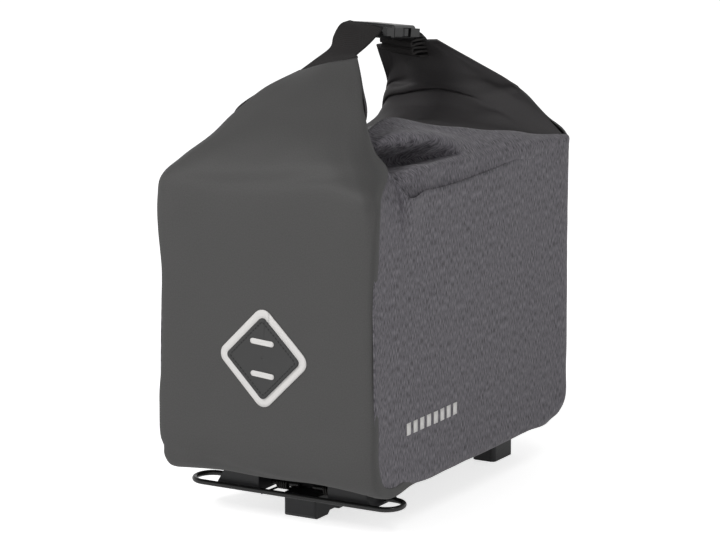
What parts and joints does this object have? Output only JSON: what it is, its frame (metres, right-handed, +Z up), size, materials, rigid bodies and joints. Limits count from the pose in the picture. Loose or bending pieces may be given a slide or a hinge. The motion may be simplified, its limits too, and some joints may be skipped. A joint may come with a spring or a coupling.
{
  "type": "rack-top pannier bag",
  "caption": "Roll-top bag for a bicycle's rear carrier: upright fabric body, roll closure buckled into a carry handle, tail-light patch and a sprung clip-on adapter underneath.",
  "frame": {"origin": "on the ground under the middle of the bag, at the centre of its outline seen from above; the adapter's feet stand on z = 0", "axes": "+Y is the riding direction, +Z is up, +X is across the bag; the tail-light patch faces -Y"},
  "size_m": [0.2, 0.34, 0.3964],
  "materials": {
    "coated_fabric": "matte polyurethane-coated polyester, dark grey",
    "heather_fabric": "melange woven polyester, grey with light and dark yarns",
    "webbing": "ribbed woven polyester webbing, black",
    "buckle_plastic": "moulded acetal, semi-gloss black",
    "reflective_film": "glass-bead reflective film, off-white",
    "patch_fabric": "coated fabric patch, dark grey",
    "stiffener_board": "extruded polyethylene sheet, black",
    "adapter_plastic": "glass-filled nylon, fine moulded texture, black",
    "bail_wire": "powder-coated steel wire, gloss black",
    "spring_wire": "black-oxidised spring steel wire",
    "clamp_aluminium": "plain rolled aluminium strip",
    "fastener_steel": "zinc-plated steel"
  },
  "bodies": {
    "bag": {"end_strip": "coated_fabric", "base_board": "stiffener_board", "left_side_panel": "heather_fabric", "right_side_panel": "heather_fabric", "left_side_board": "stiffener_board", "right_side_board": "stiffener_board", "left_top_panel": "heather_fabric", "right_top_panel": "heather_fabric", "rear_left_gusset": "coated_fabric", "rear_right_gusset": "coated_fabric", "front_left_gusset": "coated_fabric", "front_right_gusset": "coated_fabric", "rear_wing": "coated_fabric", "front_wing": "coated_fabric", "rolled_mouth": "coated_fabric", "mouth_stiffener": "stiffener_board", "rear_strap": "webbing", "front_strap": "webbing", "buckle_plug": "buckle_plastic", "buckle_socket": "buckle_plastic", "reflective_diamond": "reflective_film", "light_patch": "patch_fabric", "left_print": "reflective_film", "right_print": "reflective_film", "adapter_plate": "adapter_plastic", "clamp_housing": "adapter_plastic", "hook_block": "adapter_plastic", "left_front_foot": "adapter_plastic", "right_front_foot": "adapter_plastic", "left_clamp_strip": "clamp_aluminium", "right_clamp_strip": "clamp_aluminium", "adapter_screws": "fastener_steel", "adapter_washers": "fastener_steel", "adapter_nuts": "fastener_steel"},
    "bail": {"release_bail": "bail_wire", "left_torsion_spring": "spring_wire", "right_torsion_spring": "spring_wire"},
    "left_prong": {"buckle_left_prong": "buckle_plastic"},
    "right_prong": {"buckle_right_prong": "buckle_plastic"}
  },
  "joints": [
    {"name": "bail_hinge", "type": "hinge", "parent": "bag", "child": "bail", "pos_m": [0, -0.103, 0.024], "axis": [-1, 0, 0], "range_deg": [0, 20], "stiffness_Nm_per_rad": 0.2, "springref_deg": -34.38},
    {"name": "left_prong_squeeze", "type": "hinge", "parent": "bag", "child": "left_prong", "pos_m": [-0.00975, 0.0062, 0.38897], "axis": [0, -0.1564, -0.9877], "range_deg": [0, 9], "stiffness_Nm_per_rad": 0.3},
    {"name": "right_prong_squeeze", "type": "hinge", "parent": "bag", "child": "right_prong", "pos_m": [0.00975, 0.0062, 0.38897], "axis": [0, 0.1564, 0.9877], "range_deg": [0, 9], "stiffness_Nm_per_rad": 0.3}
  ]
}
